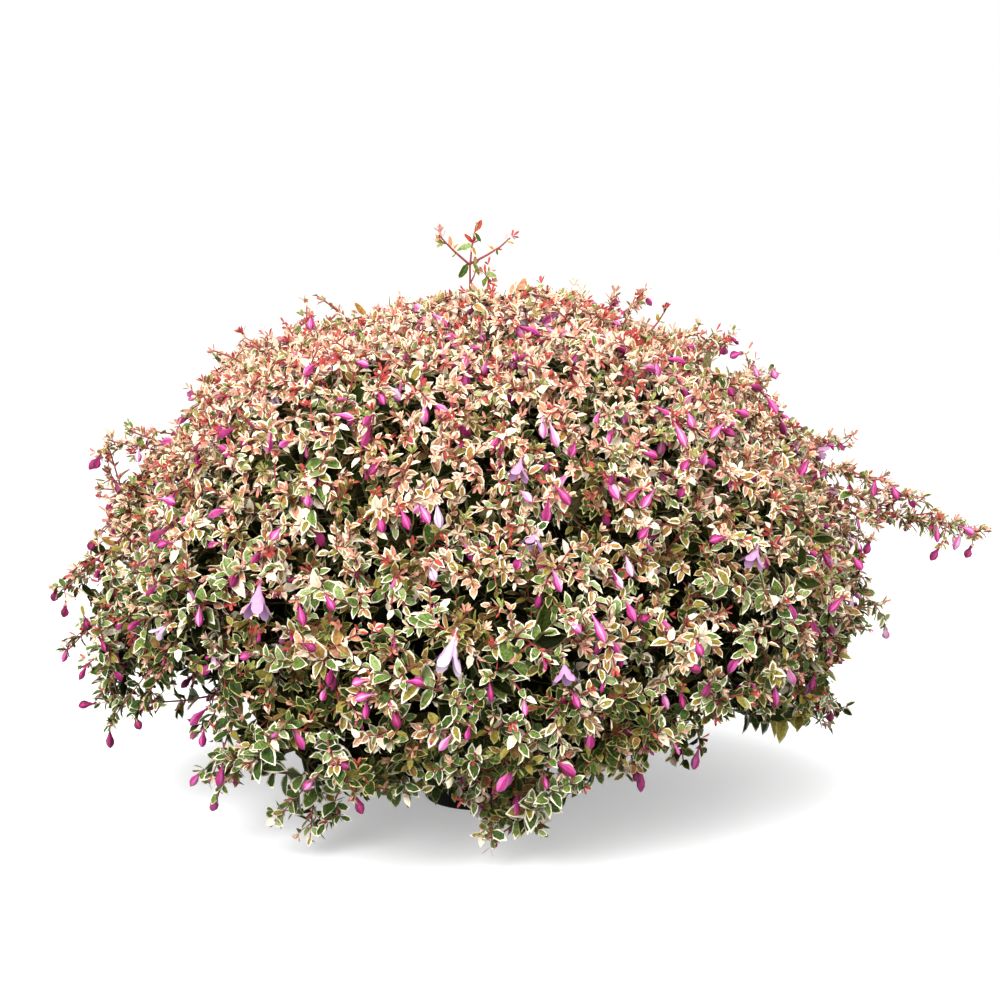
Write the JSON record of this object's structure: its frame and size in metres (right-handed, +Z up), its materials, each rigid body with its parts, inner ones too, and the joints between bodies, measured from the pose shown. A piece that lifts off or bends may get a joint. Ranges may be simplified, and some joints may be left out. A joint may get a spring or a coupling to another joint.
{
  "type": "potted flowering shrub",
  "caption": "Dense mounded variegated abelia in flower, its many spreading shoots overhanging a plain black nursery pot.",
  "frame": {"origin": "centre of the pot's flat underside, where it stands", "axes": "+Z up along the pot's axis; +X to the right as seen from the front; the front faces -Y"},
  "size_m": [1.0061, 0.9321, 0.6353],
  "materials": {
    "pot": "matte black",
    "compost": "crumbly",
    "bark": "fibrous bark",
    "foliage": "leafy"
  },
  "bodies": {
    "root": {"pot": "pot", "compost": "compost", "root_crown": "bark", "low_bough_1": "bark", "low_bough_2": "bark", "low_bough_3": "bark", "low_bough_4": "bark", "low_bough_5": "bark", "low_bough_6": "bark", "low_bough_7": "bark", "low_bough_8": "bark", "side_stem_1": "bark", "side_stem_2": "bark", "side_stem_3": "bark", "side_stem_4": "bark", "side_stem_5": "bark", "side_stem_6": "bark", "side_stem_7": "bark", "side_stem_8": "bark", "shoulder_bough_1": "bark", "shoulder_bough_2": "bark", "shoulder_bough_3": "bark", "shoulder_bough_4": "bark", "shoulder_bough_5": "bark", "shoulder_bough_6": "bark", "shoulder_bough_7": "bark", "shoulder_bough_8": "bark", "top_stem_1": "bark", "top_stem_2": "bark", "top_stem_3": "bark", "leader_stem": "bark", "low_foliage_1": "foliage", "low_foliage_2": "foliage", "low_foliage_3": "foliage", "low_foliage_4": "foliage", "low_foliage_5": "foliage", "low_foliage_6": "foliage", "low_foliage_7": "foliage", "low_foliage_8": "foliage", "side_foliage_1": "foliage", "side_foliage_2": "foliage", "side_foliage_3": "foliage", "side_foliage_4": "foliage", "side_foliage_5": "foliage", "side_foliage_6": "foliage", "side_foliage_7": "foliage", "side_foliage_8": "foliage", "shoulder_foliage_1": "foliage", "shoulder_foliage_2": "foliage", "shoulder_foliage_3": "foliage", "shoulder_foliage_4": "foliage", "shoulder_foliage_5": "foliage", "shoulder_foliage_6": "foliage", "shoulder_foliage_7": "foliage", "shoulder_foliage_8": "foliage", "top_foliage_1": "foliage", "top_foliage_2": "foliage", "top_foliage_3": "foliage", "leader_foliage": "foliage"}
  },
  "joints": []
}
